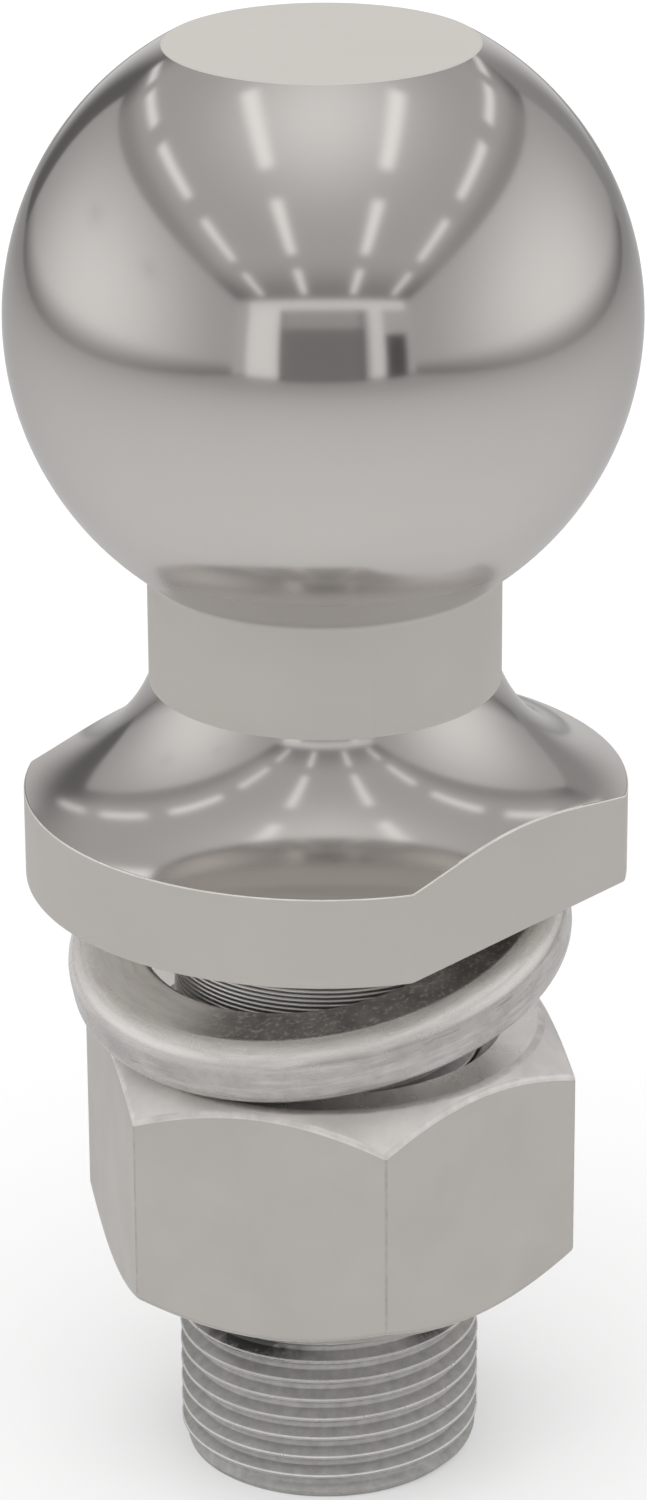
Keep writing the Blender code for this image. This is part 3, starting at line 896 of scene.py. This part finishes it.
def paint_nut(piece):
    """Plain zinc, with chamfers, edges, countersinks and bearing faces painted lighter as painted
    highlights and painted light, and upright corners painted darker as painted shade, told apart by how
    their faces lean.
    """
    for name in ("nut_zinc", "nut_chamfer_highlight", "nut_edge_highlight", "nut_corner_shade", "nut_bearing_lit"):
        piece.data.materials.append(plain_finish(name))
    plain, chamfer, edge, corner, bearing = range(len(piece.data.materials))
    chamfer_lean, countersink_lean = math.cos(NUT_CHAMFER_ANGLE), math.sqrt(0.5)
    for face in piece.data.polygons:
        lean = face.normal.z
        reach = face.center.xy.length
        azimuth = math.atan2(face.normal.y, face.normal.x) - NUT_CORNER_AZIMUTH
        off_facet = abs(math.remainder(azimuth - math.pi / 6, math.pi / 3))
        outside = reach > NUT_ACROSS_FLATS / 2 - 2 * NUT_FACE_INSET
        conical = abs(abs(lean) - countersink_lean) < COUNTERSINK_TOLERANCE
        finish = plain
        if outside and abs(lean) < UPRIGHT_LEAN:
            finish = corner if off_facet > OFF_FACET else plain
        elif outside and UPRIGHT_LEAN < lean < FLAT_LEAN:
            finish = chamfer if abs(lean - chamfer_lean) < CHAMFER_TOLERANCE else edge
        elif abs(lean) > FLAT_LEAN or (conical and reach > SHANK_RADIUS):
            finish = bearing
        face.material_index = finish


forging = make_forging()
paint_forging(forging)
true_normals(forging)
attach(forging, "ball")
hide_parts("tow_ball")

washer = make_washer()
paint_washer(washer)
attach(washer, "washer")
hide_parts("lock_washer")

nut = make_nut()
paint_nut(nut)
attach(nut, "nut")
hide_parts("hex_nut")

# Studio: a room that only the metal's reflections see, with rows of lamps in its ceiling.
# Levels are radiances, where 1 is white.
ROOM_HEIGHT = 0.44
ROOM_SIDE = 1.44 * ROOM_HEIGHT
ROOM_FRONT = -2.33 * ROOM_HEIGHT
ROOM_REAR = 2.14 * ROOM_HEIGHT
CEILING = BALL_CENTRE + ROOM_HEIGHT
LAMP_WIDTH = 0.085 * ROOM_HEIGHT
LAMP_LENGTH = 0.64 * ROOM_HEIGHT
LAMP_BLUR = 0.07 * ROOM_HEIGHT
LAMP_ROWS = (-0.963, -0.326, 0.36, 0.988)
LAMP_SPACING = 0.9 * ROOM_HEIGHT
LAMP_SHIFT = -0.02 * ROOM_HEIGHT
LAMP_SKEW = -0.03
LAMP_LEVEL = 1.12
LAMPS_EACH_WAY = 2
UNDER_CEILING = 4.0 * MM

# Fineness of the cards that carry the room's levels, as cells along each side
WALL_CELLS = 48
FRONT_WALL_CELLS = 120
LAMP_CELLS = 24

# Two faint dull patches on the left wall, as (y, height above the ball's centre)
WALL_PATCHES = ((-0.24, 0.255), (0.17, 0.247))

# What stands before the front wall, in degrees across and up as the ball's centre sees it
LINTEL_TOP = 22.6
LINTEL_LEFT, LINTEL_RIGHT = -27.0, 29.6
DOORWAY_TOP = 19.3
TRANSOM_BOTTOM = 12.9
JAMB_LEFT, DOOR_LEFT, DOOR_RIGHT = -26.5, -15.5, 14.7
DOOR_MIDDLE = -0.4
DOOR_EDGE_FADE = (12.0, 15.0)
POST_LEFT, POST_RIGHT = 16.5, 21.0
OPENING_TOP = 10.5
OPENING_LEFT, OPENING_RIGHT = 21.8, 28.8


def ceiling_level(point):
    """Grey with a glow above the ball, darker along the walls."""
    x, y = abs(point.x) / ROOM_HEIGHT, point.y / ROOM_HEIGHT
    grey, glow = 0.483, 0.4
    level = grey + glow * bell(x, y, 0.45, 0.58)
    side_shade = 0.3 * smooth(x, 1.08, 1.3)
    end_shade = 0.45 * smooth(abs(y), 1.2, 2.15)
    return level * (1 - side_shade) * (1 - end_shade)


def side_wall_level(point):
    """A broad glow beside the ball, a dark foot, and two faint dull patches on the left wall."""
    rise = point.z - BALL_CENTRE
    grey, glow, glow_rise = 0.46, 0.43, 0.07
    level = grey + glow * bell(point.y, rise - glow_rise, 0.5, 0.36)
    if point.x < 0:
        patch_shade = 0.13
        level *= 1 - patch_shade * sum(bell(point.y - y, rise - z, 0.05, 0.03) for y, z in WALL_PATCHES)
    foot_height = 0.11
    return level * (0.4 + 0.6 * smooth(point.z, 0.0, foot_height))


def front_wall_level(point):
    """A doorway with a bright jamb, lintel and post, a transom over its door, and a dark opening."""
    across = math.degrees(math.atan2(point.x, -ROOM_FRONT))
    rise = math.degrees(math.atan2(point.z - BALL_CENTRE, -ROOM_FRONT))
    level = 0.5
    if rise > DOORWAY_TOP:
        if rise < LINTEL_TOP and LINTEL_LEFT < across < LINTEL_RIGHT:
            level = 0.84
    elif JAMB_LEFT < across < DOOR_LEFT:
        level = 0.88
    elif DOOR_LEFT <= across < DOOR_RIGHT:
        level = 0.4 if rise > TRANSOM_BOTTOM else 0.22
        level *= 1 - 0.5 * smooth(abs(across - DOOR_MIDDLE), *DOOR_EDGE_FADE)
    elif POST_LEFT < across < POST_RIGHT:
        level = 0.82
    elif rise <= OPENING_TOP and OPENING_LEFT < across < OPENING_RIGHT:
        level = 0.08
    foot_height = 0.03
    return level * (0.55 + 0.45 * smooth(point.z, 0.0, foot_height))


def rear_wall_level(point):
    """Bright in its middle, dark toward its left corner and duller toward its right one."""
    corner = 0.15 + 0.2 * smooth(point.x, -0.2, 0.2)
    middle = 0.8
    return corner + (middle - corner) * (1 - smooth(abs(point.x), 0.18, 0.46))


def room_material():
    """Emission at the level that each card's points carry."""
    material = bpy.data.materials.new("room_light")
    material.use_nodes = True
    tree = material.node_tree
    tree.nodes.clear()
    emission = tree.nodes.new("ShaderNodeEmission")
    output = tree.nodes.new("ShaderNodeOutputMaterial")
    tree.links.new(carried(tree, ROOM_LEVEL), emission.inputs["Strength"])
    tree.links.new(emission.outputs["Emission"], output.inputs["Surface"])
    return material


def card(name, corner, across, along, level, material, cells=WALL_CELLS):
    """A flat grid of cells, seen only in reflections, whose level is a function of each point's place."""
    corner, across, along = Vector(corner), Vector(across), Vector(along)
    points, faces = [], []
    for j in range(cells + 1):
        for i in range(cells + 1):
            points.append(corner + across * i / cells + along * j / cells)
            if i < cells and j < cells:
                first = j * (cells + 1) + i
                faces.append((first, first + 1, first + cells + 2, first + cells + 1))
    mesh = bpy.data.meshes.new(name)
    mesh.from_pydata(points, [], faces)
    levels = mesh.attributes.new(ROOM_LEVEL, "FLOAT", "POINT")
    levels.data.foreach_set("value", [level(point) for point in points])
    mesh.materials.append(material)
    piece = bpy.data.objects.new(name, mesh)
    bpy.context.scene.collection.objects.link(piece)
    piece.visible_camera = False
    piece.visible_diffuse = False
    piece.visible_shadow = False


def lamp_level(point, centre):
    """A lamp with soft edges, which fade into the ceiling."""
    along = abs(point.y - centre.y)
    across = abs(point.x - centre.x - LAMP_SKEW * (point.y - centre.y))
    share = 1 - smooth(across, (LAMP_WIDTH - LAMP_BLUR) / 2, (LAMP_WIDTH + LAMP_BLUR) / 2)
    share *= 1 - smooth(along, (LAMP_LENGTH - LAMP_BLUR) / 2, (LAMP_LENGTH + LAMP_BLUR) / 2)
    return share * LAMP_LEVEL + (1 - share) * ceiling_level(point)


def make_room():
    light = room_material()
    width = (2 * ROOM_SIDE, 0.0, 0.0)
    depth = (0.0, ROOM_REAR - ROOM_FRONT, 0.0)
    height = (0.0, 0.0, CEILING)
    card("ceiling", (-ROOM_SIDE, ROOM_FRONT, CEILING), width, depth, ceiling_level, light)
    card("left_wall", (-ROOM_SIDE, ROOM_FRONT, 0.0), depth, height, side_wall_level, light)
    card("right_wall", (ROOM_SIDE, ROOM_FRONT, 0.0), depth, height, side_wall_level, light)
    front_corner = (-ROOM_SIDE, ROOM_FRONT, 0.0)
    card("front_wall", front_corner, width, height, front_wall_level, light, FRONT_WALL_CELLS)
    card("rear_wall", (-ROOM_SIDE, ROOM_REAR, 0.0), width, height, rear_wall_level, light)
    across = Vector((LAMP_WIDTH + LAMP_BLUR, 0.0, 0.0))
    along = Vector((LAMP_SKEW, 1.0, 0.0)) * (LAMP_LENGTH + LAMP_BLUR)
    for row, column in enumerate(LAMP_ROWS):
        for k in range(-LAMPS_EACH_WAY, LAMPS_EACH_WAY + 1):
            y = LAMP_SHIFT + k * LAMP_SPACING
            centre = Vector((column * ROOM_HEIGHT + LAMP_SKEW * y, y, CEILING - UNDER_CEILING))
            corner = centre - (across + along) / 2
            name = f"lamp_{row}_{k + LAMPS_EACH_WAY}"
            card(name, corner, across, along, lambda point: lamp_level(point, centre), light, LAMP_CELLS)


# Floor, with its levels near the part and far from it, as seen and as mirrored in the metal.
# The glow is what it adds to its own light so that it reads white.
FLOOR_HALF = 6.0
FLOOR_ALBEDO = (0.6, 0.6)
MIRRORED_ALBEDO = (0.45, 0.27)
FLOOR_GLOW = (0.38, 0.66)
MIRRORED_GLOW = (0.26, 0.155)
FLOOR_DISTANCES = (0.12, 0.9)
MIRRORED_DISTANCES = (0.05, 0.7)


def make_floor():
    """A plain pale floor that reads white, keeps the shadow, and dims toward the walls in reflections."""
    sides = ((-1, -1), (1, -1), (1, 1), (-1, 1))
    corners = [(x * FLOOR_HALF, y * FLOOR_HALF, 0.0) for x, y in sides]
    mesh = bpy.data.meshes.new("floor")
    mesh.from_pydata(corners, [], [(0, 1, 2, 3)])
    floor = bpy.data.objects.new("floor", mesh)
    bpy.context.scene.collection.objects.link(floor)
    grey = (FLOOR_ALBEDO[0],) * 3
    material, tree, shader = new_material("pale_floor", grey, metallic=0.0, roughness=1.0)
    shader.inputs["Specular IOR Level"].default_value = 0.0
    shader.inputs["Emission Color"].default_value = WHITE

    away = tree.nodes.new("ShaderNodeVectorMath")
    away.operation = "LENGTH"
    tree.links.new(object_place(tree), away.inputs[0])
    distance = away.outputs["Value"]
    path = tree.nodes.new("ShaderNodeLightPath")

    def near_to_far(direct, reflected):
        """The level as seen, or for mirrored rays the other one; each runs from near to far."""
        share = tree.nodes.new("ShaderNodeMix")
        tree.links.new(path.outputs["Is Glossy Ray"], share.inputs["Factor"])
        tree.links.new(spread(tree, distance, *direct, *FLOOR_DISTANCES), share.inputs["A"])
        tree.links.new(spread(tree, distance, *reflected, *MIRRORED_DISTANCES), share.inputs["B"])
        return share.outputs["Result"]

    glow = calculate(tree, "MULTIPLY", near_to_far(FLOOR_GLOW, MIRRORED_GLOW), seen_rays(tree))
    tree.links.new(near_to_far(FLOOR_ALBEDO, MIRRORED_ALBEDO), shader.inputs["Base Color"])
    tree.links.new(glow, shader.inputs["Emission Strength"])
    mesh.materials.append(material)


def seen_rays(tree):
    """1 for rays from the camera, in reflections and through glass, and 0 for diffuse light."""
    path = tree.nodes.new("ShaderNodeLightPath")
    total = path.outputs["Is Camera Ray"]
    for name in ("Is Glossy Ray", "Is Transmission Ray"):
        total = calculate(tree, "MAXIMUM", total, path.outputs[name])
    return total


# Lights, with the world's level as light and as seen, and the lamp's power in watts
WORLD_LIGHT = 0.6
WORLD_SEEN = 1.0
KEY_SIZE = 1.2
KEY_POWER = 10.0
KEY_PLACE = Vector((-0.05, -0.2, 1.2))


def make_world():
    """White where it is seen, and a plain soft level as light."""
    world = bpy.data.worlds.new("studio")
    bpy.context.scene.world = world
    world.use_nodes = True
    tree = world.node_tree
    background = tree.nodes["Background"]
    background.inputs["Color"].default_value = WHITE
    strength = spread(tree, seen_rays(tree), WORLD_LIGHT, WORLD_SEEN, 0.0, 1.0)
    tree.links.new(strength, background.inputs["Strength"])


def make_key_light():
    """One large soft lamp above, for the floor's light and the object's shadow."""
    data = bpy.data.lights.new("soft_overhead", "AREA")
    data.shape = "RECTANGLE"
    data.size = KEY_SIZE
    data.size_y = KEY_SIZE
    data.energy = KEY_POWER
    lamp = bpy.data.objects.new("soft_overhead", data)
    bpy.context.scene.collection.objects.link(lamp)
    lamp.location = KEY_PLACE
    lamp.rotation_euler = (-KEY_PLACE).to_track_quat("-Z", "Y").to_euler()
    lamp.visible_glossy = False


make_room()
make_floor()
make_world()
make_key_light()

# Camera, fitted to the photograph with the ball as its ruler
CAMERA_LENS_MM = 127.09
CAMERA_PITCH = math.radians(22.23)
CAMERA_BACK = 400.89 * MM
CAMERA_ABOVE_BALL = 126.7 * MM
CAMERA_LEFT = 0.18 * MM
CAMERA_ROLL = math.radians(-0.35)

camera_data = bpy.data.cameras.new("photo_camera")
camera_data.sensor_width = 36.0
camera_data.lens = CAMERA_LENS_MM
camera_data.clip_start = 0.01
camera = bpy.data.objects.new("photo_camera", camera_data)
bpy.context.scene.collection.objects.link(camera)
place = Matrix.Translation((-CAMERA_LEFT, -CAMERA_BACK, BALL_CENTRE + CAMERA_ABOVE_BALL))
tilt = Matrix.Rotation(math.pi / 2 - CAMERA_PITCH, 4, "X")
camera.matrix_world = place @ tilt @ Matrix.Rotation(CAMERA_ROLL, 4, "Z")
bpy.context.scene.camera = camera
bpy.context.scene.view_settings.view_transform = "Standard"
